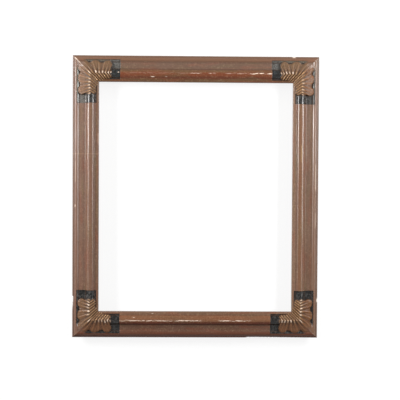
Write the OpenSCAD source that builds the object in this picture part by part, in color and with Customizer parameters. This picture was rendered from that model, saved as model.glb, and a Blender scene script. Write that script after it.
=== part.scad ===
// Carved and painted wooden picture frame, empty, made to hang on a wall.
// Four mitred lengths of moulding are joined at the corners by a hardwood spline and two nails.
// The front faces -Y, +Z is up, and the back plane of the wood is Y = 0.
// The origin is midway between the two screw eyes that the frame hangs by.

/* [Frame] */
// Width of the opening that shows the picture
sight_w = 557; // [420:1:900]
// Height of the opening that shows the picture
sight_h = 660; // [420:1:1100]
// Width of the moulding, from its outer edge to the sight edge
rail_w = 76; // [76:1:90]
// Drop from the top of the frame to the screw eyes
eye_drop = 270; // [200:1:380]

/* [Rabbet] */
// Width of the ledge that holds the picture in
rabbet_w = 8; // [6:0.5:10]
// Depth of the rabbet from the back
rabbet_d = 14; // [10:0.5:15]

/* [Moulding] */
// Height of the small outer roll above the back
roll_h = 23.8; // [23:0.2:24.6]
// Height of the large torus above the back
torus_h = 33.6; // [33:0.2:34.6]
// Radius of the large torus
torus_r = 14.5; // [14:0.1:15]
// Angle at which the flat frieze rises from the roll to the torus
frieze_angle = 5.3; // [4:0.1:6.5]

/* [Carving] */
// Length of the carved panel along each rail, from the outer corner
panel_len = 137; // [130:1:150]
// Depth that the ground of the panel is sunk below the moulding
panel_sink = 3; // [2.8:0.1:3.3]
// Radius of the gouge that cuts the flutes
gouge_r = 4.8; // [4.4:0.1:5]
// Depth of a flute where it leaves the ridge of the leaf
flute_depth = 1.9; // [1.2:0.1:2]
// Spacing of the flutes along the ridge
flute_pitch = 8.5; // [8:0.1:9]

/* [Joinery] */
// Thickness of the spline across each mitre
spline_t = 3; // [2:0.5:4]
// Length of the spline along each outer edge
spline_leg = 46; // [35:1:55]
// Diameter of a nail
nail_d = 2.2; // [1.8:0.2:2.6]
// Length of a nail
nail_len = 52; // [45:1:60]

/* [Screw eyes] */
// Diameter of the wire of a screw eye
eye_wire_d = 2.6; // [2:0.2:3]
// Inner diameter of the eye
eye_d = 8; // [7:0.5:10]
// Length of the shank in the wood
eye_shank = 14; // [10:1:16]

/* [Hidden] */
$fn = 64;
outer_w = sight_w + 2 * rail_w;
outer_h = sight_h + 2 * rail_w;
centre_z = eye_drop - outer_h / 2;
eps = 0.02;
cut = 60;

// Places across the moulding, from its outer edge
edge_v = 3.2;
roll_v = 12;
roll_r = 6.3;
torus_v = 52.4;
lip_v = 66.2;
nose_r = 2.6;
lip_end_v = rail_w - nose_r - 0.8;

// Heights above the back
wall_h = 15;
ledge_h = 18.3;
frieze_h = 18.7;
lip_top_h = 26;
lip_h = 24.4;
lip_swell = 0.5;

// The lip falls from the torus to the nose at the sight edge, and swells by a shallow arc on the way.
lip_lean = atan((lip_top_h - lip_h) / (lip_end_v - lip_v));
lip_half = (lip_end_v - lip_v) / cos(lip_lean) / 2;
lip_r = (lip_half * lip_half + lip_swell * lip_swell) / (2 * lip_swell);
lip_middle = [(lip_v + lip_end_v) / 2, (lip_top_h + lip_h) / 2];

// The carved panel and the leaf in it. The leaf's base stays in the wood above the rabbet.
panel_outer_v = 12.5;
panel_inner_v = rail_w - 6.5;
panel_cut_h = ledge_h - panel_sink - 1;
leaf_base_h = rabbet_d + 1.2;
leaf_foot_v = 13.4;
leaf_foot_h = 20.8;
leaf_waist_v = 29;
leaf_hollow = 0.8;
leaf_ridge_v = torus_v - 1.5;
leaf_ridge_h = torus_h + 1.2;
leaf_fall_v = torus_v + 3.4;
leaf_edge_v = panel_inner_v - 0.8;
leaf_lip_h = 28;
leaf_root_v = rail_w - 2.5;
leaf_root_h = 26.6;
leaf_root_u = 6;
leaf_tip_u = 116;
rise = atan((leaf_ridge_h - leaf_foot_h) / (leaf_ridge_v - leaf_foot_v));
fall = atan((leaf_ridge_h - leaf_lip_h) / (leaf_edge_v - leaf_fall_v));

// The leaf's lobes. Neighbours overlap by a little, so that their outlines meet in a notch.
lobe_pitch = 21;
lobe_overlap = 0.8;
lobe_r = lobe_pitch / 2 + lobe_overlap;
lobe_v = 25;
first_lobe_u = 57;
lobes = 3;
shoulder_r = 7;
shoulder_place = [105.5, 34];
heel_r = 7.5;
heel_place = [104, 60];

// The flutes of the leaf, and the rib along the mitre
first_flute_u = 40;
outer_flutes = 9;
inner_flutes = 5;
straight_flutes = 3;
outer_sweep = 5;
inner_sweep = 6;
flute_start = 1.5;
flute_runout = 1.2;
pass_len = 62;
rib_clear = 13;
rib_groove_at = [5, 11.5];

// The joints at the corners
spline_h = 5;
nail_h = 12;
nail_u = [15, 31];
nail_set = 1.5;
nail_head_r = 1.7;
nail_head_t = 1.3;
nail_r = nail_d / 2;
eye_v = 36;
eye_gap = 2;

corners = [[-1, -1], [1, -1], [-1, 1], [1, 1]];

// Frieze, torus and lip, which the sunk ground of the panel repeats.
// In each section x is the distance from the outer edge and y the height above the back.
module inner_forms() {
  polygon([
    [roll_v, 0],
    [roll_v, frieze_h],
    [torus_v, frieze_h + (torus_v - roll_v) * tan(frieze_angle)],
    [torus_v, lip_top_h - eps],
    [lip_v, lip_top_h - eps],
    [lip_end_v, lip_h - eps],
    [rail_w - nose_r, lip_h - eps],
    [rail_w - nose_r, 0]
  ]);
  translate([torus_v, torus_h - torus_r]) circle(r = torus_r);
  intersection() {
    translate(lip_middle - (lip_r - lip_swell) * [sin(lip_lean), cos(lip_lean)]) circle(r = lip_r);
    translate([lip_v, rabbet_d]) square([lip_end_v - lip_v, cut]);
  }
}

// The whole moulding: the outer wall and roll are added, and the rabbet is cut from behind.
module moulding_section() {
  difference() {
    union() {
      polygon([[0, 0], [0, wall_h], [edge_v, ledge_h], [roll_v + 1, ledge_h], [roll_v + 1, 0]]);
      translate([roll_v, roll_h - roll_r]) circle(r = roll_r);
      inner_forms();
      translate([torus_v, rabbet_d - 1]) square([rail_w - torus_v, lip_h - rabbet_d + 1 - nose_r]);
      translate([rail_w - nose_r, lip_h - nose_r]) circle(r = nose_r);
    }
    translate([rail_w - rabbet_w, -1]) square([rabbet_w + 1, rabbet_d + 1]);
  }
}

// The leaf before its flutes are cut: hollow towards its foot, with its ridge along the torus.
module leaf_section() {
  polygon([
    [leaf_foot_v - 1, leaf_base_h],
    [leaf_foot_v - 1, leaf_foot_h - tan(rise)],
    [leaf_waist_v, leaf_foot_h + (leaf_waist_v - leaf_foot_v) * tan(rise) - leaf_hollow],
    [leaf_ridge_v, leaf_ridge_h],
    [leaf_fall_v, leaf_ridge_h],
    [leaf_edge_v, leaf_lip_h],
    [leaf_root_v + 1, leaf_root_h],
    [leaf_root_v + 1, leaf_base_h]
  ]);
}

// Draws a section out along u, the direction of the rail.
module along_u(from, to) {
  translate([from, 0, 0])
    rotate([90, 0, 90])
      linear_extrude(to - from) children();
}

// The leaf's outline in plan: u along the rail from the outer corner, v across it.
// Its root covers the sight edge at the inner corner, and its tip lies on the torus.
module leaf_outline() {
  polygon([
    [leaf_root_u, leaf_foot_v], [43, leaf_foot_v], [48, lobe_v - 4],
    [108, lobe_v + 2], [111, 38], [leaf_tip_u, leaf_ridge_v + 0.5], [110, 56.5],
    [107, leaf_edge_v], [90, leaf_edge_v], [84, leaf_root_v], [leaf_root_u, leaf_root_v]
  ]);
  for (i = [0 : lobes - 1]) translate([first_lobe_u + i * lobe_pitch, lobe_v]) circle(r = lobe_r);
  translate(shoulder_place) circle(r = shoulder_r);
  translate(heel_place) circle(r = heel_r);
}

// Puts a cutter on the outer slope of the leaf, where y runs up the slope to the ridge.
module on_outer_slope(u) {
  translate([u, leaf_ridge_v, leaf_ridge_h]) rotate([rise, 0, 0]) children();
}

// Puts a cutter on the inner slope of the leaf, where y runs down to the sight edge.
module on_inner_slope(u) {
  translate([u, leaf_fall_v, leaf_ridge_h]) rotate([-fall, 0, 0]) children();
}

// One pass of the gouge. It starts at the local origin and runs out along -y, at an angle to it.
module gouge_pass(sweep) {
  rotate([0, 0, sweep])
    translate([0, 0, gouge_r - flute_depth])
      rotate([90 - flute_runout, 0, 0])
        cylinder(r = gouge_r, h = pass_len, $fn = 32);
}

// The flutes start at the rib on the mitre, and farther along at the ridge, and sweep towards the tip.
module flutes() {
  for (i = [0 : outer_flutes - 1]) {
    u = first_flute_u + i * flute_pitch;
    start_v = min(leaf_ridge_v + flute_start, u - rib_clear);
    on_outer_slope(u)
      translate([0, (start_v - leaf_ridge_v) / cos(rise), 0])
        gouge_pass(max(0, outer_sweep * (i - straight_flutes)));
  }
  for (i = [0 : inner_flutes - 1]) {
    u = first_flute_u + (i + outer_flutes - inner_flutes) * flute_pitch;
    on_inner_slope(u)
      translate([0, -flute_start, 0])
        rotate([0, 0, 180]) gouge_pass(-inner_sweep * (i + 1));
  }
}

// Grooves beside the rib that runs along the mitre.
module rib_grooves() {
  for (side = rib_groove_at) {
    on_outer_slope(leaf_ridge_v + side) gouge_pass(-atan(cos(rise)));
    on_inner_slope(leaf_fall_v + side) rotate([0, 0, 180]) gouge_pass(-atan(cos(fall)));
  }
}

// The panel's ground is cut away everywhere that the leaf does not cover.
module sunk_panel() {
  difference() {
    translate([0, panel_outer_v, panel_cut_h])
      cube([panel_len, panel_inner_v - panel_outer_v, cut]);
    translate([0, 0, -panel_sink]) along_u(-1, panel_len + 1) inner_forms();
  }
}

// The leaf stands on the sunk ground, with its flutes and its rib cut.
module leaf_relief() {
  difference() {
    intersection() {
      along_u(leaf_root_u - 1, leaf_tip_u + 1) leaf_section();
      translate([0, 0, leaf_base_h - 1]) linear_extrude(cut) leaf_outline();
    }
    flutes();
    rib_grooves();
  }
}

// Repeats a child at both ends of a rail, measured from its outer corners.
module both_ends(length) {
  for (side = [0, 1]) mirror([side, 0, 0]) translate([-length / 2, 0, 0]) children();
}

// The wedge that the mitre saw takes off the end of a rail.
module mitre_waste() {
  translate([0, 0, -cut]) rotate([0, 0, 45]) translate([-2 * rail_w, 0, 0])
    cube([5 * rail_w, 3 * rail_w, 3 * cut]);
}

// One carved length of moulding, lying along x, with its outer edge on y = 0 and its front up.
module rail(length) {
  difference() {
    union() {
      difference() {
        translate([-length / 2, 0, 0]) along_u(0, length) moulding_section();
        both_ends(length) sunk_panel();
      }
      both_ends(length) leaf_relief();
    }
    both_ends(length) mitre_waste();
  }
}

// Turns a rail from lying at the bottom of the frame to one of its four sides.
module on_side(angle, half) {
  translate([0, 0, centre_z])
    rotate([0, angle, 0])
      translate([0, 0, -half])
        rotate([90, 0, 0]) children();
}

// Puts a child at a corner: x runs along the rail from the corner, y along the stile, z to the front.
module at_corner(corner) {
  translate([0, 0, centre_z])
    mirror([corner[0] > 0 ? 1 : 0, 0, 0])
      mirror([0, 0, corner[1] > 0 ? 1 : 0])
        translate([-outer_w / 2, 0, -outer_h / 2])
          rotate([90, 0, 0]) children();
}

module spline_slip() {
  translate([0, 0, spline_h])
    linear_extrude(spline_t) polygon([[0, 0], [spline_leg, 0], [0, spline_leg]]);
}

module nail() {
  translate([0, nail_set, nail_h]) rotate([-90, 0, 0]) {
    cylinder(r = nail_head_r, h = nail_head_t, $fn = 24);
    translate([0, 0, nail_head_t - eps]) cylinder(r = nail_r, h = nail_len - nail_head_t, $fn = 24);
  }
}

// The hole that a nail leaves: open to the outer edge above its head.
module nail_hole() {
  nail();
  translate([0, -1, nail_h]) rotate([-90, 0, 0])
    cylinder(r = nail_head_r, h = nail_set + 1 + eps, $fn = 24);
}

module corner_cuts(chosen) {
  for (corner = chosen) at_corner(corner) {
    spline_slip();
    for (u = nail_u) translate([u, 0, 0]) nail_hole();
  }
}

module eye_place(side) {
  translate([side * (outer_w / 2 - eye_v), 0, 0]) children();
}

// A screw eye: a ring of wire across the hanging line, on a shank that is screwed into the stile.
module screw_eye() {
  ring_y = eye_gap + eye_d / 2 + eye_wire_d;
  translate([0, ring_y, 0]) rotate([0, 90, 0])
    rotate_extrude() translate([(eye_d + eye_wire_d) / 2, 0]) circle(d = eye_wire_d, $fn = 32);
  translate([0, eye_gap + eye_wire_d / 2, 0]) rotate([90, 0, 0])
    cylinder(d = eye_wire_d, h = eye_gap + eye_wire_d / 2 + eye_shank, $fn = 32);
}

module eye_hole() {
  translate([0, 1, 0]) rotate([90, 0, 0]) cylinder(d = eye_wire_d, h = eye_shank + 1, $fn = 32);
}

module top_rail() {
  color("sienna") difference() {
    on_side(180, outer_h / 2) rail(outer_w);
    corner_cuts([corners[2], corners[3]]);
  }
}

module bottom_rail() {
  color("sienna") difference() {
    on_side(0, outer_h / 2) rail(outer_w);
    corner_cuts([corners[0], corners[1]]);
  }
}

module left_stile() {
  color("sienna") difference() {
    on_side(90, outer_w / 2) rail(outer_h);
    corner_cuts([corners[0], corners[2]]);
    eye_place(-1) eye_hole();
  }
}

module right_stile() {
  color("sienna") difference() {
    on_side(-90, outer_w / 2) rail(outer_h);
    corner_cuts([corners[1], corners[3]]);
    eye_place(1) eye_hole();
  }
}

module corner_spline(corner) {
  color("burlywood") at_corner(corner) spline_slip();
}

module corner_nails(corner) {
  color("dimgray") at_corner(corner) for (u = nail_u) translate([u, 0, 0]) nail();
}

module stile_eye(side) {
  color("darkgoldenrod") eye_place(side) screw_eye();
}

top_rail();
bottom_rail();
left_stile();
right_stile();
corner_spline(corners[2]);  // top_left_spline
corner_spline(corners[3]);  // top_right_spline
corner_spline(corners[0]);  // bottom_left_spline
corner_spline(corners[1]);  // bottom_right_spline
corner_nails(corners[2]);  // top_left_nails
corner_nails(corners[3]);  // top_right_nails
corner_nails(corners[0]);  // bottom_left_nails
corner_nails(corners[1]);  // bottom_right_nails
stile_eye(-1);  // left_screw_eye
stile_eye(1);  // right_screw_eye
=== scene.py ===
"""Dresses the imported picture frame: carved rails and stiles, their paint, the hardware and the studio.

Sizes are in millimetres until a mesh is placed. On each length of moulding u runs along it from its
first outer corner, v across it from the outer edge, and h up from the back of the wood.
"""

import logging
import math
from dataclasses import dataclass, field, fields
from enum import Enum
from typing import ClassVar

import bpy
import numpy as np
from mathutils import Matrix, Vector


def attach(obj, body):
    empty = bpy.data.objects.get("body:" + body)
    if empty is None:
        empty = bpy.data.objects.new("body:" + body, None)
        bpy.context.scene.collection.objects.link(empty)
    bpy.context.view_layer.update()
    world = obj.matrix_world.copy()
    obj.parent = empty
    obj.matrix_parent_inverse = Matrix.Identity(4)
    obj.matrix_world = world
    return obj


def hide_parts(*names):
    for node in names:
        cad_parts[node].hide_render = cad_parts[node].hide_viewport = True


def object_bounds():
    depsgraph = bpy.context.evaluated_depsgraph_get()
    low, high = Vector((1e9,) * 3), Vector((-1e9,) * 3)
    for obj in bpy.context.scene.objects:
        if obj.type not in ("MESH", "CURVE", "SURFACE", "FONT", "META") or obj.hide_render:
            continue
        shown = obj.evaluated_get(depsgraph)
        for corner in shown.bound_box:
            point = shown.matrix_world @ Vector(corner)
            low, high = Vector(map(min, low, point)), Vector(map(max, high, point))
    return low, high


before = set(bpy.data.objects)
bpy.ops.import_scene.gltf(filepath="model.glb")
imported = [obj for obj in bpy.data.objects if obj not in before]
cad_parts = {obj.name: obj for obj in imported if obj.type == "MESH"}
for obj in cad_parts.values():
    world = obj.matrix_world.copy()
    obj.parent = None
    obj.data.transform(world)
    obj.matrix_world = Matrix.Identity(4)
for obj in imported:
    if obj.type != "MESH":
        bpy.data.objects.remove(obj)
CAD_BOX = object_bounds()

MM = 0.001
LOG = logging.getLogger("picture_frame")

Array = np.ndarray
Socket = bpy.types.NodeSocket
Stretch = tuple[float, float, float]
Tree = bpy.types.NodeTree


class Side(Enum):
    """The four lengths of moulding, by the name of their CAD node."""

    TOP = "top_rail"
    BOTTOM = "bottom_rail"
    LEFT = "left_stile"
    RIGHT = "right_stile"


class Zone(Enum):
    """Parts of a length of moulding, each with the two passes of cuts that divide it."""

    FIRST_CORNER = ("first corner", (10, 15))
    SECOND_CORNER = ("second corner", (10, 15))
    PLAIN = ("plain length", (9, 9))


class Kind(Enum):
    """The kinds of shader node in use: the type, its own settings and the output that is read."""

    STRIP = ("ShaderNodeUVMap", {"uv_map": "Strip"}, "UV")
    SOLID = ("ShaderNodeTexCoord", {}, "Object")
    SHARE = ("ShaderNodeAttribute", {}, "Fac")
    ALONG = ("ShaderNodeSeparateXYZ", {}, "X")
    HEIGHT = ("ShaderNodeSeparateXYZ", {}, "Z")
    STRETCH = ("ShaderNodeMapping", {}, 0)
    NOISE = ("ShaderNodeTexNoise", {}, "Fac")
    RAMP = ("ShaderNodeMapRange", {"interpolation_type": "SMOOTHSTEP"}, 0)
    SPREAD = ("ShaderNodeMapRange", {}, 0)
    BLEND = ("ShaderNodeMix", {"data_type": "RGBA"}, 2)
    BETWEEN = ("ShaderNodeMix", {"data_type": "FLOAT"}, 0)
    TIMES = ("ShaderNodeMath", {"operation": "MULTIPLY", "use_clamp": True}, 0)
    PLUS = ("ShaderNodeMath", {"operation": "ADD", "use_clamp": True}, 0)
    LESS = ("ShaderNodeMath", {"operation": "SUBTRACT", "use_clamp": True}, 0)
    LARGER = ("ShaderNodeMath", {"operation": "MAXIMUM", "use_clamp": True}, 0)
    SUM = ("ShaderNodeMath", {"operation": "ADD"}, 0)
    GAP = ("ShaderNodeMath", {"operation": "SUBTRACT"}, 0)
    SIZE = ("ShaderNodeMath", {"operation": "ABSOLUTE"}, 0)
    BUMP = ("ShaderNodeBump", {}, 0)
    PRINCIPLED = ("ShaderNodeBsdfPrincipled", {}, 0)
    MATT = ("ShaderNodeBsdfDiffuse", {}, 0)
    GLOW = ("ShaderNodeEmission", {}, 0)
    CLEAR = ("ShaderNodeBsdfTransparent", {}, 0)
    BOTH = ("ShaderNodeAddShader", {}, 0)
    EITHER = ("ShaderNodeMixShader", {}, 0)
    BACK = ("ShaderNodeNewGeometry", {}, "Backfacing")
    PATH = ("ShaderNodeLightPath", {}, 0)
    ROOM = ("ShaderNodeBackground", {}, 0)
    SURFACE = ("ShaderNodeOutputMaterial", {}, None)
    WORLD = ("ShaderNodeOutputWorld", {}, None)


def ease(x: Array | float) -> Array:
    """Returns a smooth step of x, from 0 at 0 to 1 at 1."""
    t = np.clip(x, 0.0, 1.0)
    return t * t * (3.0 - 2.0 * t)


def arch(x: Array, half_width: float | Array) -> Array:
    """Returns a round hump of height 1 at x = 0 that ends at half_width on either side."""
    return np.clip(1.0 - (x / half_width) ** 2, 0.0, 1.0)


def smoothed(values: Array, reach: int) -> Array:
    """Returns values with each averaged over its neighbours, up to reach of them on either side."""
    kernel = np.hanning(2 * reach + 1)
    return np.convolve(np.pad(values, reach, mode="edge"), kernel / kernel.sum(), mode="valid")


def in_disc(u: Array, v: Array, centre: tuple[float, float], radius: float) -> Array:
    """Returns how far each place lies inside a disc, negative outside it."""
    return radius - np.hypot(u - centre[0], v - centre[1])


def in_polygon(u: Array, v: Array, corners: tuple[tuple[float, float], ...]) -> Array:
    """Measures how far places lie inside a polygon.

    Args:
        u: Places along the rail.
        v: Places across it.
        corners: The polygon's corners in order.

    Returns:
        The distance to the outline, positive inside and negative outside.
    """
    nearest = np.full(u.shape, np.inf)
    inside = np.zeros(u.shape, bool)
    for (u0, v0), (u1, v1) in zip(corners, corners[1:] + corners[:1]):
        du, dv = u1 - u0, v1 - v0
        along = np.clip(((u - u0) * du + (v - v0) * dv) / (du * du + dv * dv), 0.0, 1.0)
        nearest = np.minimum(nearest, np.hypot(u - u0 - along * du, v - v0 - along * dv))
        if dv:
            crosses = (v0 > v) != (v1 > v)
            inside ^= crosses & (u < u0 + (v - v0) * du / dv)
    return np.where(inside, nearest, -nearest)


def soft_noise(x: Array, y: Array, seed: int, waves: int = 7) -> Array:
    """Sums a few seeded waves into a smooth, repeatable unevenness.

    Args:
        x: First coordinate, where 1 is about the size of a feature.
        y: Second coordinate.
        seed: Which unevenness.
        waves: How many waves are summed.

    Returns:
        Values of about -1 to 1.
    """
    draw = np.random.default_rng(seed)
    total = np.zeros(np.broadcast(x, y).shape)
    for _ in range(waves):
        turn, phase, size = draw.uniform(0, math.tau), draw.uniform(0, math.tau), draw.uniform(3.0, 7.0)
        total += np.sin(size * (x * math.cos(turn) + y * math.sin(turn)) + phase)
    return total / math.sqrt(waves)


def linear(hex_colour: str) -> tuple[float, float, float, float]:
    """Turns a colour into the values that shaders use.

    Args:
        hex_colour: The sRGB colour, such as #76563e.

    Returns:
        Linear red, green and blue, and an alpha of 1.
    """
    parts = [int(hex_colour[i : i + 2], 16) / 255 for i in (1, 3, 5)]
    red, green, blue = [c / 12.92 if c <= 0.04045 else ((c + 0.055) / 1.055) ** 2.4 for c in parts]
    return (red, green, blue, 1.0)


def add_node(tree: Tree, kind: Kind, settings: dict | None = None, **inputs: object) -> Socket | None:
    """Adds a shader node with its settings and links.

    Args:
        tree: The material's or world's node tree.
        kind: The kind of node.
        settings: More of the node's own settings, by name.
        **inputs: Values, hex colours or output sockets for its inputs. A name is an input's name with
            _ for a space, and _0, _1 and so on mean an input by number.

    Returns:
        The output that the kind names, or None for the last node of a tree.
    """
    node_type, own, output = kind.value
    made = tree.nodes.new(node_type)
    for name, value in {**own, **(settings or {})}.items():
        setattr(made, name, value)
    for name, value in inputs.items():
        socket = made.inputs[int(name[1:])] if name[1:].isdigit() else made.inputs[name.replace("_", " ")]
        if isinstance(value, Socket):
            tree.links.new(value, socket)
        else:
            socket.default_value = linear(value) if isinstance(value, str) else value
    return None if output is None else made.outputs[output]


def bare_tree(owner: bpy.types.Material | bpy.types.World) -> Tree:
    """Returns the node tree of a material or world, with nothing in it."""
    owner.use_nodes = True
    owner.node_tree.nodes.clear()
    return owner.node_tree


def select_only(piece: bpy.types.Object) -> None:
    """Makes one object the only selected and the active one.

    Args:
        piece: The object.
    """
    bpy.ops.object.select_all(action="DESELECT")
    piece.select_set(True)
    bpy.context.view_layer.objects.active = piece


@dataclass(frozen=True)
class MouldingSection:
    """The section that all four lengths share, in millimetres; pairs are v and h, or v and half a width."""

    width: float = 76.0
    rabbet_width: float = 8.0
    rabbet_depth: float = 14.0
    wall_height: float = 15.0
    edge_top: tuple[float, float] = (3.2, 18.3)
    ledge_height: float = 18.3
    outer_roll: tuple[float, float, float] = (12.0, 17.5, 6.3)
    frieze_start: tuple[float, float] = (18.2, 19.3)
    frieze_end: tuple[float, float] = (38.2, 21.1)
    torus: tuple[float, float, float] = (52.4, 19.1, 14.5)
    lip: tuple[float, float] = (65.6, 26.0)
    lip_swell: float = 0.5
    nose_height: float = 24.4
    nose_radius: float = 2.6
    hollows: tuple[tuple[float, float], ...] = ((4.9, 1.6), (18.9, 1.5), (38.9, 2.2), (65.4, 1.8))
    # Paint lies thickest in the crease beside the outer roll, and rounds the other creases.
    fillet_places: tuple[float, ...] = (15.0, 17.0, 19.5, 22.5)
    fillet_heights: tuple[float, ...] = (22.6, 21.5, 20.4, 19.7)
    paint_fill: float = 2.0
    filled_from: float = 7.0
    filled_to: float = 71.0
    # Places where the mesh is divided on the hidden faces, and the spacing of its lines on the front.
    step: float = 0.72
    wall_lines: tuple[float, ...] = (0.0, 2.2, 5.0, 8.0, 10.5, 12.2)
    nose_lines: tuple[float, ...] = (20.2, 18.6, 17.0, 15.4)
    rabbet_lines: tuple[float, ...] = (9.0, 4.5)
    back_lines: tuple[float, ...] = (54.0, 41.0, 27.0, 13.0)

    def front_height(self, v: Array) -> Array:
        """Gives the height of the front, with its creases filled and softened by coats of paint.

        Args:
            v: Places across the moulding.

        Returns:
            The height above the back at each place.
        """
        fine = np.linspace(0.0, self.width, 1521)
        fillet = np.interp(fine, self.fillet_places, self.fillet_heights, left=0.0, right=0.0)
        sharp = np.maximum(self.sharp_height(fine), fillet)
        soft = smoothed(sharp, round(self.paint_fill / (fine[1] - fine[0])))
        filled = ease((fine - self.filled_from) / 3.0) * ease((self.filled_to - fine) / 3.0)
        return np.interp(v, fine, sharp + (soft - sharp) * filled)

    def sharp_height(self, v: Array) -> Array:
        """Gives the height of the front as it left the moulding plane.

        Args:
            v: Places across the moulding.

        Returns:
            The height above the back at each place.
        """
        nose = self.width - self.nose_radius
        corners = (
            (0.0, self.wall_height), self.edge_top, (self.frieze_start[0] - 1.0, self.ledge_height),
            self.frieze_start, self.frieze_end, self.lip, (nose, self.nose_height),
        )
        height = np.interp(v, *zip(*corners))
        height = height + self.lip_swell * arch(v - (self.lip[0] + nose) / 2, (nose - self.lip[0]) / 2)
        for centre, middle, radius in (self.outer_roll, self.torus):
            rise = radius**2 - (v - centre) ** 2
            height = np.where(rise > 0, np.maximum(height, middle + np.sqrt(np.maximum(rise, 0.0))), height)
        round_off = np.sqrt(np.maximum(self.nose_radius**2 - (v - nose) ** 2, 0.0))
        return np.where(v > nose, self.nose_height - self.nose_radius + round_off, height)

    def dirt_and_shade(self, v: Array) -> Array:
        """Returns how much soiling and painted shade darken the hollows between members, 0 to 1."""
        return np.maximum.reduce([arch(v - place, half) for place, half in self.hollows])

    def loop(self) -> Array:
        """Gives the closed section, from the outer back edge over the front and round the back.

        Returns:
            Points of v and h, evenly spaced over the front.
        """
        fine = np.linspace(0.0, self.width, 6001)
        heights = self.front_height(fine)
        length = np.concatenate([[0.0], np.cumsum(np.hypot(np.diff(fine), np.diff(heights)))])
        even = np.linspace(0.0, length[-1], int(length[-1] / self.step))
        front = np.column_stack([np.interp(even, length, fine), np.interp(even, length, heights)])
        inner = self.width - self.rabbet_width
        wall = [(0.0, h) for h in self.wall_lines]
        nose = [(self.width, h) for h in (*self.nose_lines, self.rabbet_depth)]
        rabbet = [((self.width + inner) / 2, self.rabbet_depth), (inner, self.rabbet_depth)]
        rabbet += [(inner, h) for h in self.rabbet_lines]
        back = [(v, 0.0) for v in (inner, *self.back_lines)]
        return np.vstack([wall, front, nose, rabbet, back])


@dataclass
class Shares:
    """What the finish follows at each vertex, each from 0 to 1."""

    leaf: Array
    ground: Array
    channel: Array
    gilt: Array
    # Dirt and painted shade in the hollows
    grime_and_shade: Array
    # Wear and chips, and the painted glints and highlights
    worn_and_glinting: Array

    @classmethod
    def none(cls, count: int) -> "Shares":
        """Returns shares of nothing for a number of vertices."""
        return cls(*(np.zeros(count) for _ in fields(cls)))

    def put(self, where: Array, other: "Shares") -> None:
        """Writes the shares of some vertices, taking the larger where there are some already.

        Args:
            where: Which vertices.
            other: Their shares.
        """
        for name, values in vars(other).items():
            mine = getattr(self, name)
            mine[where] = np.maximum(mine[where], values)


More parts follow.
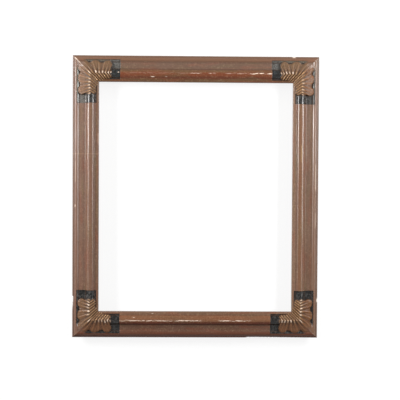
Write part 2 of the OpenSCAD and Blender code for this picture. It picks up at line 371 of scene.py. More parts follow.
@dataclass(frozen=True)
class CornerLeaf:
    """Half of the leaf that is carved across a mitre, and the sunk ground round it, in millimetres.

    Gouge cuts run out from the leaf's midrib. Beside the mitre they follow it, further along they
    stand square to the rail, and towards the tip they lean forward, so that they never cross. The
    leans give, for cuts by where they start, how far they go along the rail for each step across it.
    """

    section: MouldingSection
    panel_length: float = 137.0
    panel_outer: float = 12.4
    panel_inner: float = 69.5
    sink: float = 3.0
    midrib: float = 52.0
    ridges: tuple[float, ...] = (52.0, 60.0, 69.0, 78.0, 86.5, 95.0, 103.0, 110.0, 117.0)
    ridge_stray: float = 0.8
    out_lean_starts: tuple[float, ...] = (52, 60, 64.5, 69, 78, 82.2, 86.5, 95, 103, 117)
    out_lean: tuple[float, ...] = (-1.0, -0.9, -0.6, -0.36, -0.08, 0.1, 0.21, 0.3, 0.38, 0.5)
    in_lean_starts: tuple[float, ...] = (52, 60, 69, 82, 97, 117)
    in_lean: tuple[float, ...] = (1.0, 0.96, 0.86, 0.76, 0.68, 0.6)
    outline: tuple[tuple[float, float], ...] = (
        (4, 16.5), (40, 16.5), (46, 21), (106, 21), (110, 38), (113.5, 50.5),
        (108, 56), (106, 68.7), (90, 68.7), (84, 73.5), (4, 73.5),
    )
    lobes: tuple[tuple[float, float, float], ...] = (
        (65.0, 33.0, 18.6), (100.0, 28.0, 13.0), (104.5, 61.0, 7.5),
    )
    lobe_cuts: tuple[float, ...] = (64.5, 82.2)
    lobe_cut: float = 1.7
    slope_places: tuple[float, ...] = (10.0, 13.0, 29.0, 41.0, 47.0, 51.0, 54.0, 59.0, 65.0, 69.0, 76.0)
    slope_heights: tuple[float, ...] = (20.6, 21.2, 25.4, 29.9, 33.0, 34.7, 34.8, 33.6, 30.4, 28.4, 25.6)
    gouge_depth: float = 1.9
    edge_round: float = 1.7
    edge_drop: float = 0.9
    glint_place: float = 49.5
    glint_length: float = 4.4

    def inside(self, u: Array, v: Array, seed: int) -> Array:
        """Measures how far places lie inside the leaf's outline.

        Args:
            u: Places along the rail from the outer corner.
            v: Places across it.
            seed: Which corner, as each is cut a little differently by hand.

        Returns:
            The distance inside the outline, negative outside.
        """
        u = u + 0.5 * soft_noise(u / 26, v / 26, seed)
        v = v + 0.5 * soft_noise(u / 24, v / 24, seed + 50)
        body = in_polygon(u, v, self.outline)
        for place, across, radius in self.lobes:
            body = np.maximum(body, in_disc(u, v, (place, across), radius))
        return body

    def slope(self, v: Array) -> Array:
        """Gives the height of the leaf before the gouge cuts.

        Args:
            v: Places across the rail.

        Returns:
            The height above the back at each place.
        """
        fine = np.linspace(5.0, 80.0, 751)
        return np.interp(v, fine, smoothed(np.interp(fine, self.slope_places, self.slope_heights), 15))

    def cut_line(self, start: Array | float, v: Array) -> Array:
        """Gives where a cut that starts on the midrib passes a line across the rail.

        Args:
            start: Where on the midrib the cut starts.
            v: Places across the rail.

        Returns:
            The place along the rail.
        """
        outward, inward = np.maximum(self.midrib - v, 0.0), np.maximum(v - self.midrib, 0.0)
        curl = 0.7 + 0.3 * outward / 36.0
        out_lean = np.interp(start, self.out_lean_starts, self.out_lean)
        in_lean = np.interp(start, self.in_lean_starts, self.in_lean)
        return start + out_lean * outward * curl + in_lean * inward

    def start_of(self, u: Array, v: Array) -> Array:
        """Finds from where on the midrib a cut reaches each place.

        Args:
            u: Places along the rail.
            v: Places across it.

        Returns:
            The place on the midrib.
        """
        low, high = np.full(u.shape, 30.0), np.full(u.shape, 150.0)
        for _ in range(24):
            middle = (low + high) / 2
            short = self.cut_line(middle, v) < u
            low, high = np.where(short, middle, low), np.where(short, high, middle)
        return (low + high) / 2

    def gouge(self, u: Array, v: Array, seed: int) -> tuple[Array, Array, Array]:
        """Cuts the flutes and the lines between the lobes.

        Args:
            u: Places along the rail from the outer corner.
            v: Places across it.
            seed: Which corner.

        Returns:
            The depth below the leaf's slope, how near a place is to the floor of a cut, and how near
            it is to a crest between two.
        """
        draw = np.random.default_rng(seed)
        count = len(self.ridges)
        stray = draw.uniform(-self.ridge_stray, self.ridge_stray, count) * np.linspace(0.0, 1.0, count)
        ridges = np.array(self.ridges) + stray
        bite = draw.uniform(0.82, 1.12, count)
        start = self.start_of(u, v)
        phase = np.interp(start, ridges, np.arange(count))
        hollow = arch(phase - np.floor(phase) - 0.5, 0.5)
        outward, inward = np.maximum(self.midrib - v, 0.0), np.maximum(v - self.midrib, 0.0)
        # Each cut forks in two on the outer half, where it is shallow.
        fork = ease((outward - 12.0) / 8.0)
        forked = arch(2.0 * phase - np.floor(2.0 * phase) - 0.5, 0.5)
        hollow = hollow + fork * (0.45 * hollow + 0.45 * forked - hollow)
        # Towards the tip, on the midrib and on the outer half the gouge bites less.
        depth = self.gouge_depth * np.interp(start, [52, 104, 114], [1.0, 0.95, 0.5])
        depth = depth * bite[np.clip(np.floor(phase).astype(int), 0, count - 1)]
        depth = depth * (0.35 + 0.65 * ease((outward + inward) / 4.0))
        depth = depth * (1.0 - 0.5 * ease((outward - 8.0) / 20.0))
        cut = depth * hollow * (start > ridges[0])
        for place in self.lobe_cuts:
            aside = u - self.cut_line(place, v)
            parting = arch(aside, self.lobe_cut) * ease((outward - 5.0) / 14.0)
            cut = np.maximum(cut, self.lobe_cut * parting)
            hollow = np.maximum(hollow, parting)
        crest = (1.0 - hollow) ** 2 * ease((start - ridges[0] + 3.0) / 3.0)
        return cut, hollow, crest

    def carve(self, u: Array, v: Array, base: Array, seed: int) -> tuple[Array, Shares]:
        """Carves one end of a rail.

        Args:
            u: Places along the rail from its outer corner.
            v: Places across it.
            base: Height of the plain moulding there.
            seed: Which corner.

        Returns:
            The carved height, and what the finish follows.
        """
        panel = np.minimum.reduce([self.panel_length - u, v - self.panel_outer, self.panel_inner - v])
        # The sunk ground runs out before the outer corner, which is plain moulding.
        panel = ease(panel / 0.9 + 0.5) * ease((u - 30.0) / 14.0)
        ground = self.section.front_height(v) - self.sink + 0.12 * soft_noise(u / 12, v / 9, seed + 7)
        height = base + (np.minimum(ground, base) - base) * panel
        depth_in = self.inside(u, v, seed)
        cut, hollow, crest = self.gouge(u, v, seed)
        # The leaf rounds over towards its outline, most where it stands high over the ground.
        leaf = self.slope(v) - cut - self.edge_drop * (1.0 - ease(depth_in / 6.0))
        outline = ease(depth_in / self.edge_round + 0.5)
        # Towards the outer corner the leaf sinks into the plain moulding.
        rise = outline * ease((u - 12.0) / 24.0) * ease((v - 12.0) / 5.0)
        height = height + (np.maximum(leaf, height - 0.4) - height) * rise
        share = outline * ease((u - 24.0) / 16.0) * ease((v - 14.0) / 4.0)
        # The half by the opening is cut crisply and gilded, and the outer half is smooth and brown.
        crisp = ease((v - 42.0) / 8.0)
        # Dirt and painted shade darken the floors of the cuts, most in the half by the opening.
        fades = (1.0 - 0.45 * ease((30.0 - v) / 14.0)) * ease((u - v + 2.0) / 6.0)
        outer_grime_and_shade = 0.95 * hollow**3 * fades
        grime_and_shade = outer_grime_and_shade + (hollow**2.2 - outer_grime_and_shade) * crisp
        # Painted shade darkens the ground at the foot of the leaf.
        foot = arch(depth_in + 0.6, 2.4) * panel * ease((u - 34.0) / 6.0)
        done = Shares(
            leaf=share,
            ground=panel * (1.0 - outline),
            channel=(1.0 - ease((v - 16.0) / 2.0)) * (1.0 - ease((u - 109.0) / 3.0)),
            gilt=share * (0.16 + 0.84 * crisp) * (0.12 + 0.5 * crest),
            grime_and_shade=np.clip(share * grime_and_shade + 0.6 * foot, 0.0, 1.0),
            # The painted glints, cream highlights on the crests
            worn_and_glinting=share * self.glints(u, v, seed),
        )
        return height, done

    def glints(self, u: Array, v: Array, seed: int) -> Array:
        """Gives where cream glints are painted as highlights on the highest points of the crests.

        Args:
            u: Places along the rail from the outer corner.
            v: Places across it.
            seed: Which corner, as some crests get brighter painted glints than others.

        Returns:
            How bright the painted glint is at each place, 0 to 1.
        """
        draw = np.random.default_rng(seed + 1)
        count = len(self.ridges)
        strength = draw.choice([0.15, 0.5, 1.0], count, p=[0.15, 0.35, 0.5])
        middle = self.glint_place + draw.uniform(-2.5, 1.5, count)
        phase = np.interp(self.start_of(u, v), np.array(self.ridges), np.arange(count))
        near = np.clip(np.round(phase).astype(int), 0, count - 1)
        # The two crests beside the mitre and the last one at the tip get no painted glint.
        strength = strength * ((np.arange(count) > 1) & (np.arange(count) < count - 1))
        return strength[near] * arch(phase - near, 0.24) * arch(v - middle[near], self.glint_length)


@dataclass(frozen=True)
class Dent:
    """A knock or chip along an edge, in millimetres; peak is where along it, 0 to 1, it is deepest."""

    at: float
    long: float
    deep: float
    peak: float = 0.5
    reach: float = 7.0
    bare: float = 0.6

    def depth(self, u: Array) -> Array:
        """Returns how deep the knock is at places along the rail."""
        t = (u - self.at) / self.long + 0.5
        return self.deep * ease(np.interp(t, [0.0, self.peak, 1.0], [0.0, 1.0, 0.0]))


# Most patches are paint rubbed through; those on the stiles' outer roll and lip are painted highlights.
@dataclass(frozen=True)
class BrightPatch:
    """A small bright patch, in millimetres along and across the moulding."""

    at: float
    long: float
    across: float
    wide: float
    strength: float = 1.0
    gold: bool = False

    def share(self, u: Array, v: Array) -> Array:
        """Returns how bright the patch is at each place, 0 to 1."""
        along = ease(2.0 * arch(u - self.at, self.long / 2))
        return self.strength * along * ease(2.0 * arch(v - self.across, self.wide / 2))


@dataclass(frozen=True)
class WearAndGlints:
    """What use has done to one length of moulding, and the glints and highlights painted on it.

    The runs along the crest of the torus where its paint is gone are each a start, an end and a strength
    from 0 to 1. The pairs are how bright the edge of the mitre, partly bare and partly a painted
    highlight, the painted glints on the leaf's crests and the painted glint on the crest on the mitre are
    at the first and at the second corner.
    """

    dents: tuple[Dent, ...] = ()
    bright_patches: tuple[BrightPatch, ...] = ()
    crest_runs: tuple[tuple[float, float, float], ...] = ()
    arris: tuple[float, float] = (0.1, 0.1)
    glints: tuple[float, float] = (1.0, 1.0)
    mitre_glints: tuple[float, float] = (0.0, 0.0)
    gilding: float = 1.0

    def crest(self, u: Array) -> Array:
        """Gives how far the crest of the torus is worn through.

        Args:
            u: Places along the rail.

        Returns:
            The share of the paint that is gone at each place, 0 to 1.
        """
        worn_and_glinting = np.zeros(len(u))
        for start, end, strength in self.crest_runs:
            run = ease((u - start) / 10.0 + 0.5) * ease((end - u) / 10.0 + 0.5)
            worn_and_glinting = np.maximum(worn_and_glinting, strength * run)
        return worn_and_glinting


@dataclass
class MouldedLength:
    """One of the four carved lengths of moulding."""

    side: Side
    length: float
    low: Vector
    high: Vector
    section: MouldingSection
    leaf: CornerLeaf
    seed: int
    wear_and_glints: WearAndGlints
    corner_zone: float = 150.0
    waver: float = 0.16
    joint_depth: float = 0.2
    painted_from: float = 2.6

    def build(self) -> bpy.types.Object:
        """Builds the mitred blank, divides it, carves it and puts it in its place.

        Returns:
            The finished mesh object, without its finish.
        """
        piece = self._blank()
        self._divide(piece)
        self._carve_and_place(piece)
        select_only(piece)
        bpy.ops.object.mode_set(mode="EDIT")
        bpy.ops.mesh.select_all(action="SELECT")
        bpy.ops.mesh.normals_make_consistent(inside=False)
        bpy.ops.object.mode_set(mode="OBJECT")
        bpy.ops.object.shade_smooth_by_angle(angle=math.radians(50))
        return piece

    def dress(self, piece: bpy.types.Object, paint: bpy.types.Material) -> None:
        """Paints the finished piece and puts it in place of its CAD node.

        Args:
            piece: The carved length.
            paint: Its finish.
        """
        piece.data.materials.append(paint)
        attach(piece, "root")
        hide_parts(self.side.value)

    def _blank(self) -> bpy.types.Object:
        """Draws the section out to the rail's length and saws both mitres.

        Returns:
            The plain blank, in local places: x is u, y is v and z is h.
        """
        loop = self.section.loop()
        bpy.ops.object.select_all(action="DESELECT")
        bpy.ops.mesh.primitive_circle_add(vertices=len(loop), radius=0.05, fill_type="NGON")
        piece = bpy.context.active_object
        piece.name = piece.data.name = f"carved_{self.side.value}"
        places = np.column_stack([np.zeros(len(loop)), loop]) * MM
        piece.data.vertices.foreach_set("co", places.ravel())
        # The way round the section is kept on each vertex, and the cuts below carry it along.
        way_round = np.concatenate([[0.0], np.cumsum(np.hypot(*np.diff(loop, axis=0).T))])
        kept = piece.data.attributes.new("way_round", "FLOAT", "POINT")
        kept.data.foreach_set("value", way_round.astype(np.float32))
        bpy.ops.object.mode_set(mode="EDIT")
        bpy.ops.mesh.select_all(action="SELECT")
        bpy.ops.mesh.extrude_region_move(TRANSFORM_OT_translate={"value": (self.length * MM, 0, 0)})
        for place, normal in ((0.0, (-1, 1, 0)), (self.length * MM, (1, 1, 0))):
            bpy.ops.mesh.select_all(action="SELECT")
            bpy.ops.mesh.bisect(
                plane_co=(place, 0, 0), plane_no=normal, use_fill=True, clear_outer=True, threshold=1e-7
            )
        for place in (self.corner_zone, self.length - self.corner_zone):
            bpy.ops.mesh.select_all(action="SELECT")
            bpy.ops.mesh.bisect(plane_co=(place * MM, 0, 0), plane_no=(1, 0, 0), threshold=1e-7)
        bpy.ops.object.mode_set(mode="OBJECT")
        return piece

    def _divide(self, piece: bpy.types.Object) -> None:
        """Divides the long edges, finely at the corners and coarsely between them.

        Args:
            piece: The blank.
        """
        for zone in Zone:
            for cuts in zone.value[1]:
                self._select_long_edges(piece, zone)
                bpy.ops.object.mode_set(mode="EDIT")
                bpy.ops.mesh.subdivide(number_cuts=cuts)
                bpy.ops.object.mode_set(mode="OBJECT")

    def _select_long_edges(self, piece: bpy.types.Object, zone: Zone) -> None:
        """Selects the edges that run along the rail.

        Args:
            piece: The blank.
            zone: In which part of it.
        """
        mesh = piece.data
        places = np.empty(len(mesh.vertices) * 3)
        mesh.vertices.foreach_get("co", places)
        places = places.reshape(-1, 3) / MM
        ends = np.empty(len(mesh.edges) * 2, np.int32)
        mesh.edges.foreach_get("vertices", ends)
        first, second = places[ends[0::2]], places[ends[1::2]]
        middle = (first[:, 0] + second[:, 0]) / 2
        along = np.abs(second[:, 1:] - first[:, 1:]).max(axis=1) < 1e-3
        last = self.length - self.corner_zone
        within = {
            Zone.FIRST_CORNER: middle < self.corner_zone,
            Zone.SECOND_CORNER: middle > last,
            Zone.PLAIN: (middle > self.corner_zone) & (middle < last),
        }[zone]
        select_only(piece)
        bpy.ops.object.mode_set(mode="EDIT")
        bpy.ops.mesh.select_mode(type="EDGE")
        bpy.ops.mesh.select_all(action="DESELECT")
        bpy.ops.object.mode_set(mode="OBJECT")
        mesh.edges.foreach_set("select", along & within)

    def _carve_and_place(self, piece: bpy.types.Object) -> None:
        """Moves the front's vertices as the carver did, wears them, and puts the piece in the frame.

        Args:
            piece: The divided blank.
        """
        mesh = piece.data
        places = np.empty(len(mesh.vertices) * 3)
        mesh.vertices.foreach_get("co", places)
        u, v, h = (column.copy() for column in (places.reshape(-1, 3) / MM).T)
        on_face = h > self.section.rabbet_depth + 0.6
        # The outer wall is painted down to a ragged line near the back, and the rest is bare wood.
        wall = (v < 0.01) & (h + 0.8 * soft_noise(u / 40, v, self.seed + 9) > self.painted_from)
        painted = np.where(on_face | wall, 1.0, 0.0)
        across = v / self.section.width
        shares = Shares.none(len(u))
        # Dirt and painted shade darken the hollows of the plain moulding.
        shares.grime_and_shade = self.section.dirt_and_shade(v) * on_face
        for corner, run in enumerate((u, self.length - u)):
            near = on_face & (v > self.leaf.panel_outer - 1.5) & (run < self.corner_zone - 2.0)
            h[near], carved = self.leaf.carve(run[near], v[near], h[near], self.seed + 11 * corner)
            # Each corner's painted glints are set brighter or dimmer.
            carved.worn_and_glinting *= self.wear_and_glints.glints[corner]
            carved.gilt *= self.wear_and_glints.gilding
            shares.grime_and_shade[near] *= 1.0 - carved.leaf
            shares.put(near, carved)
        # A hair's breadth of joint shows along each mitre.
        joint = np.clip(1.0 - (np.minimum(u, self.length - u) - v), 0.0, 1.0)
        h = np.where(on_face, h - self.joint_depth * joint, h)
        self._brighten(u, v, on_face, shares)
        # Planing and sanding by hand leaves the long members a little uneven.
        waver = self.waver * soft_noise(u / 90, v / 14, self.seed + 3) * on_face
        h = h + waver * (1.0 - shares.leaf)
        for dent in self.wear_and_glints.dents:
            deep = dent.depth(u) * (0.85 + 0.15 * soft_noise(u / 5, u * 0, self.seed + 5))
            near_edge = np.clip(1.0 - v / dent.reach, 0.0, 1.0)
            h = np.where(on_face, h - 0.35 * deep * near_edge, h)
            v = v + deep * near_edge
            chipped = dent.bare * ease(deep / 0.6) * ease(1.6 * near_edge - 0.5) * on_face
            shares.worn_and_glinting = np.maximum(shares.worn_and_glinting, chipped)
        rest = {"across": across, "painted": painted, "crest": self.wear_and_glints.crest(u)}
        for name, data in {**vars(shares), **rest}.items():
            made = mesh.attributes.new(name, "FLOAT", "POINT")
            made.data.foreach_set("value", data.astype(np.float32))
        self._write_strip(mesh, u)
        mesh.vertices.foreach_set("co", (self._in_frame(u, v, h) * MM).ravel())
        mesh.update()

    def _brighten(self, u: Array, v: Array, on_face: Array, shares: Shares) -> None:
        """Paints highlights on the bare arris of each mitre and on its crest, and brightens small patches.

        Args:
            u: Places along the rail.
            v: Places across it.
            on_face: Which of them are on the front.
            shares: What the finish follows, which takes the wear.
        """
        end = np.minimum(u, self.length - u)
        at_first = u < self.length / 2
        # The arris of the mitre is worn bright, and painted brighter as a highlight
        arris = np.where(at_first, *self.wear_and_glints.arris) * (1.0 - 0.88 * ease((v - 18.0) / 6.0))
        arris = on_face * arris * arch(end - v - 0.6, 1.2) * ease((v - 4.0) / 2.0) * (v < 51.0)
        # A painted glint on the crest along the mitre
        spark = on_face * np.where(at_first, *self.wear_and_glints.mitre_glints)
        spark = spark * arch(end - v - 1.0, 1.8) * arch(v - self.leaf.glint_place, 5.5)
        shares.worn_and_glinting = np.maximum.reduce([shares.worn_and_glinting, arris, spark])
        for rub in self.wear_and_glints.bright_patches:
            brightened = shares.gilt if rub.gold else shares.worn_and_glinting
            np.maximum(brightened, rub.share(u, v) * on_face, out=brightened)

    def _in_frame(self, u: Array, v: Array, h: Array) -> Array:
        """Turns local places into places in the frame.

        Args:
            u: Places along the rail.
            v: Places across it.
            h: Heights above the back.

        Returns:
            Rows of x, y and z, in millimetres.
        """
        low, high = np.array(self.low) / MM, np.array(self.high) / MM
        if self.side is Side.BOTTOM:
            return np.column_stack([low[0] + u, -h, low[2] + v])
        if self.side is Side.TOP:
            return np.column_stack([low[0] + u, -h, high[2] - v])
        if self.side is Side.LEFT:
            return np.column_stack([low[0] + v, -h, low[2] + u])
        return np.column_stack([high[0] - v, -h, low[2] + u])

    def _write_strip(self, mesh: bpy.types.Mesh, u: Array) -> None:
        """Unrolls the section into a UV map in metres: along the rail, and round the section.

        Args:
            mesh: The length's mesh.
            u: Where along the rail each vertex is.
        """
        way_round = np.empty(len(mesh.vertices), np.float32)
        mesh.attributes["way_round"].data.foreach_get("value", way_round)
        corners = np.empty(len(mesh.loops), np.int32)
        mesh.loops.foreach_get("vertex_index", corners)
        place = way_round[corners]
        starts = np.empty(len(mesh.polygons), np.int32)
        totals = np.empty(len(mesh.polygons), np.int32)
        mesh.polygons.foreach_get("loop_start", starts)
        mesh.polygons.foreach_get("loop_total", totals)
        owner = np.repeat(np.arange(len(starts)), totals)
        furthest = np.zeros(len(starts))
        np.maximum.at(furthest, owner, place)
        # The faces that close the section run on from its last point, and not back to its first. They
        # are small, where the sawn ends have many corners.
        loop = self.section.loop()
        whole = float(way_round.max()) + math.dist(loop[-1], loop[0])
        closes = (furthest[owner] > whole * 0.8) & (place < 1.0) & (totals[owner] < 10)
        place = np.where(closes, whole, place)
        layer = mesh.uv_layers.new(name="Strip")
        layer.data.foreach_set("uv", (np.column_stack([u[corners], place]) * MM).astype(np.float32).ravel())
        mesh.attributes.remove(mesh.attributes["way_round"])


@dataclass(frozen=True)
class Pattern:
    """A cloudy pattern: the size of its patches in millimetres, how fine it breaks up, and its stretch.

    A pattern with a stretch follows the moulding. The stretch multiplies places along the moulding and
    round it, so 0.2 makes patches five times as long as wide, and 0 lets nothing change that way. A
    pattern without one goes through the wood.
    """

    name: str
    size: float
    detail: float
    stretch: Stretch | None = None

    def add(self, tree: Tree, strip: Socket, solid: Socket) -> Socket:
        """Adds the pattern to a material.

        Args:
            tree: The material's node tree.
            strip: Places along the moulding and round it.
            solid: Places in the frame.

        Returns:
            The pattern's value.
        """
        place = add_node(tree, Kind.STRETCH, Vector=strip, Scale=self.stretch) if self.stretch else solid
        # The size gives a whole number of patches to a metre.
        scale = round(1.0 / (self.size * MM))
        return add_node(tree, Kind.NOISE, Vector=place, Scale=scale, Detail=self.detail, Roughness=0.6)


@dataclass(frozen=True)
class Coat:
    """One colour laid over what is there already.

    Each row of where names a pattern, the level at which it lets nothing through and the level from
    which it lets all through, which may be the lower one. The shares are patterns that count as they are.
    """

    colour: str
    where: tuple[tuple[str, float, float], ...] = ()
    strength: float = 1.0
    shares: tuple[str, ...] = ()

    def lay(self, tree: Tree, under: Socket | str, patterns: dict[str, Socket]) -> Socket:
        """Adds the coat to a material.

        Args:
            tree: The material's node tree.
            under: The colour below.
            patterns: The values that its rows and shares name.

        Returns:
            The colour with the coat on it.
        """
        amount = self.strength
        for name in self.shares:
            amount = add_node(tree, Kind.TIMES, _0=patterns[name], _1=amount)
        for name, none_at, all_from in self.where:
            let_through = add_node(tree, Kind.RAMP, Value=patterns[name], From_Min=none_at, From_Max=all_from)
            amount = add_node(tree, Kind.TIMES, _0=let_through, _1=amount)
        return add_node(tree, Kind.BLEND, _0=amount, _6=under, _7=self.colour)


def lay_coats(
    tree: Tree, under: Socket | str, coats: tuple[Coat, ...], patterns: dict[str, Socket]
) -> Socket:
    """Lays coats one after the other.

    Args:
        tree: The material's node tree.
        under: The colour below.
        coats: The coats, from the first laid.
        patterns: The values that the coats name.

    Returns:
        The colour with all of them on it.
    """
    for coat in coats:
        under = coat.lay(tree, under, patterns)
    return under


@dataclass(frozen=True)
class AgedPaint:
    """Old red-brown casein paint on wood, bronze rubbed on the leaf and black on the sunk ground.

    The paint is brushed along the moulding, so its streaks run that way. It is thin where hands and
    dusters rub, and there the red clay under it shows, while soiling and painted shade darken the
    hollows. Each length's colours are set lighter or darker as painted light and shade, a pale grey film
    that settled from the air, and that is partly painted light, lies higher up and most on the black, and
    glints and highlights are painted in cream. Colours are sRGB, and the levels across the moulding are
    shares of its width.
    """

    name: str
    coat: str
    clouded: str
    roll: str
    flank: str
    torus: str
    lip: str
    leaf_brown: str
    leaf_dark: str
    slate: str
    sheen: float
    flank_from: float = 0.47
    flank_to: float = 0.54
    # How dark dirt and painted shade make the hollows of the plain moulding
    hollow_dirt_and_shade: float = 0.25
    # How much pale film, dust and painted light, lies on the black's outer half high in the frame
    dust_and_light_on_black: float = 0.0
    flecks: float = 0.0
    crack_at: float = -1.0
    olive: str = "#71593d"
    dark: str = "#3b2a20"
    # Painted shade of the outer edge
    edge: str = "#261a13"
    bole: str = "#7d4029"
    # Cream of bare paint, also used for the painted glints and highlights
    worn_and_glinting: str = "#ecd6c2"
    leaf_outer: str = "#745742"
    tarnish: str = "#57502f"
    channel: str = "#55482f"
    bronze: str = "#b38f64"
    black: str = "#131211"
    # Pale grey of the film of dust and painted light
    dust: str = "#8b867f"
    fleck: str = "#a98d6f"
    bare: str = "#94765a"
    grain: str = "#6f5239"
    leaf_gloss: float = 0.48
    bright_gloss: float = 0.26
    gilt_metal: float = 0.65
    ground_sheen: float = 0.45

    drawn_out: ClassVar[Stretch] = (0.2, 1.0, 1.0)
    brushed: ClassVar[Stretch] = (0.035, 1.0, 1.0)
    shares: ClassVar[tuple[str, ...]] = (
        "leaf", "ground", "grime_and_shade", "gilt", "across", "channel", "crest", "worn_and_glinting", "painted",
    )
    patterns: ClassVar[tuple[Pattern, ...]] = (
        # Brush streaks, about 30 times as long as they are wide
        Pattern("streaks", 2.22, 4.0, brushed),
        Pattern("wide_streaks", 7.14, 2.0, brushed),
        # Patches, about five times as long as wide, that are more olive or more of the red clay
        Pattern("patches", 18.2, 2.0, drawn_out),
        # How the worn crest breaks up, and how it wavers from side to side along the moulding
        Pattern("breaks", 2.38, 3.0, drawn_out),
        Pattern("waver", 27.8, 2.0, (1.0, 0.0, 1.0)),
        # Clouds in the colour, blots where the coat has crazed and been wiped, and specks of wear
        Pattern("clouds", 45.5, 3.0),
        Pattern("blots", 4.76, 2.0),
        Pattern("specks", 1.613, 2.0),
        # Spots of bronze that are left, tarnish and tone on the leaf, and tone on the black, and spots in
        # its film of dust and painted light
        Pattern("bronze_spots", 3.03, 2.0),
        Pattern("tarnish_spots", 3.33, 2.0),
        Pattern("leaf_clouds", 11.1, 3.0),
        Pattern("ink_clouds", 6.25, 3.0),
        Pattern("dust_spots", 2.94, 2.0),
    )

    def material(self) -> bpy.types.Material:
        """Builds the node material.

        Returns:
            The finish, for one length of moulding.
        """
        made = bpy.data.materials.new(self.name)
        tree = bare_tree(made)
        found = self._find(tree)
        self._finish(tree, found, self._colour(tree, found))
        return made

    def _find(self, tree: Tree) -> dict[str, Socket]:
        """Adds the shares and patterns that the coats follow, and what is worked out from them.

        Args:
            tree: The material's node tree.

        Returns:
            Their values, by name.
        """
        strip, solid = add_node(tree, Kind.STRIP), add_node(tree, Kind.SOLID)
        found = {name: add_node(tree, Kind.SHARE, {"attribute_name": name}) for name in self.shares}
        found |= {pattern.name: pattern.add(tree, strip, solid) for pattern in self.patterns}
        found["height"] = add_node(tree, Kind.HEIGHT, Vector=solid)
        leaf, ground, across = found["leaf"], found["ground"], found["across"]
        # What is left of the bronze is patchy
        left = add_node(tree, Kind.RAMP, Value=found["bronze_spots"], From_Min=0.38, From_Max=0.6)
        left = add_node(tree, Kind.PLUS, _0=left, _1=0.25)
        found["gilt"] = add_node(tree, Kind.TIMES, _0=found["gilt"], _1=left)
        found["carved"] = add_node(tree, Kind.LARGER, _0=leaf, _1=ground)
        found["plain"] = add_node(tree, Kind.LESS, _0=1.0, _1=found["carved"])
        # Dirt and painted shade are strong in the carving's hollows and set per length elsewhere
        found["hollow"] = add_node(
            tree, Kind.SPREAD, Value=found["plain"], To_Min=0.85, To_Max=self.hollow_dirt_and_shade
        )
        # A pale film of dust and painted light lies on the outer half, hardly on the torus or the leaf
        inner = add_node(tree, Kind.RAMP, Value=across, From_Min=0.5, From_Max=0.56, To_Max=0.8)
        kept_clear = add_node(tree, Kind.LARGER, _0=leaf, _1=inner)
        found["dusty"] = add_node(tree, Kind.LESS, _0=1.0, _1=kept_clear)
        found["ledge_dust"] = add_node(
            tree, Kind.RAMP, Value=found["dust_spots"], From_Min=0.42, From_Max=0.58, To_Min=0.2
        )
        along = add_node(tree, Kind.ALONG, Vector=strip)
        found["from_crack"] = add_node(
            tree, Kind.SIZE, _0=add_node(tree, Kind.GAP, _0=along, _1=self.crack_at)
        )
        # Along the crest of the torus the paint is worn through in a broken, wavering line
        line = add_node(tree, Kind.SPREAD, Value=found["waver"], To_Min=0.65, To_Max=0.695)
        aside = add_node(tree, Kind.SIZE, _0=add_node(tree, Kind.GAP, _0=across, _1=line))
        line = add_node(tree, Kind.RAMP, Value=aside, From_Min=0.03, From_Max=0.01)
        broken = add_node(tree, Kind.RAMP, Value=found["breaks"], From_Min=0.46, From_Max=0.54)
        for part in (broken, found["crest"], found["plain"]):
            line = add_node(tree, Kind.TIMES, _0=line, _1=part)
        # Painted glints and highlights, with the worn patches and chips, broken by specks, and the worn crest
        specked = add_node(tree, Kind.RAMP, Value=found["specks"], From_Min=0.2, From_Max=0.4)
        specked = add_node(tree, Kind.TIMES, _0=found["worn_and_glinting"], _1=specked)
        found["rubbed_and_glinting"] = add_node(tree, Kind.LARGER, _0=specked, _1=line)
        return found

    def _colour(self, tree: Tree, found: dict[str, Socket]) -> Socket:
        """Lays the colours in the order in which they came on.

        Args:
            tree: The material's node tree.
            found: The shares and patterns.

        Returns:
            The colour all over.
        """
        brown = (
            Coat(self.clouded, (("clouds", 0.35, 0.65),)),
            # The torus is rubbed more than the flats, so its coat is thinner and the red clay tints it. The
            # flank and torus colours are also set per length as painted shade, darkest where they face down
            Coat(self.flank, (("across", self.flank_from, self.flank_to),)),
            Coat(self.torus, (("across", 0.6, 0.66),)),
            Coat(self.lip, (("across", 0.855, 0.885),)),
            Coat(self.olive, (("patches", 0.52, 0.68),), 0.5),
            Coat(self.bole, (("patches", 0.47, 0.32),), 0.35),
            Coat(self.fleck, (("specks", 0.6, 0.7),), self.flecks),
            Coat(self.fleck, (("blots", 0.55, 0.66),), 0.2),
            Coat(self.dark, (("blots", 0.46, 0.36),), 0.2),
            Coat(self.dark, (("streaks", 0.5, 0.8),), 0.5),
            Coat(self.bole, (("wide_streaks", 0.52, 0.75),), 0.4),
            # Painted shade darkens the outer edge
            Coat(self.edge, (("across", 0.075, 0.03),), 0.9),
            # The outer roll takes each length's own colour, darkest on the bottom rail as painted shade
            Coat(self.roll, (("across", 0.26, 0.2),), 0.7),
        )
        # The leaf keeps its brown paint, more yellow by the opening, with specks tarnished to olive
        leafy = (
            Coat(self.leaf_dark, (("leaf_clouds", 0.4, 0.65),)),
            Coat(self.leaf_outer, (("across", 0.66, 0.5),)),
            Coat(self.tarnish, (("tarnish_spots", 0.5, 0.6),), 0.4),
        )
        inky = (
            Coat(self.slate, (("ink_clouds", 0.4, 0.65),)),
            Coat(self.channel, (("height", -0.15, 0.05),), 0.8, ("channel",)),
        )
        carved = (
            Coat(self.bronze, shares=("gilt",)),
        )
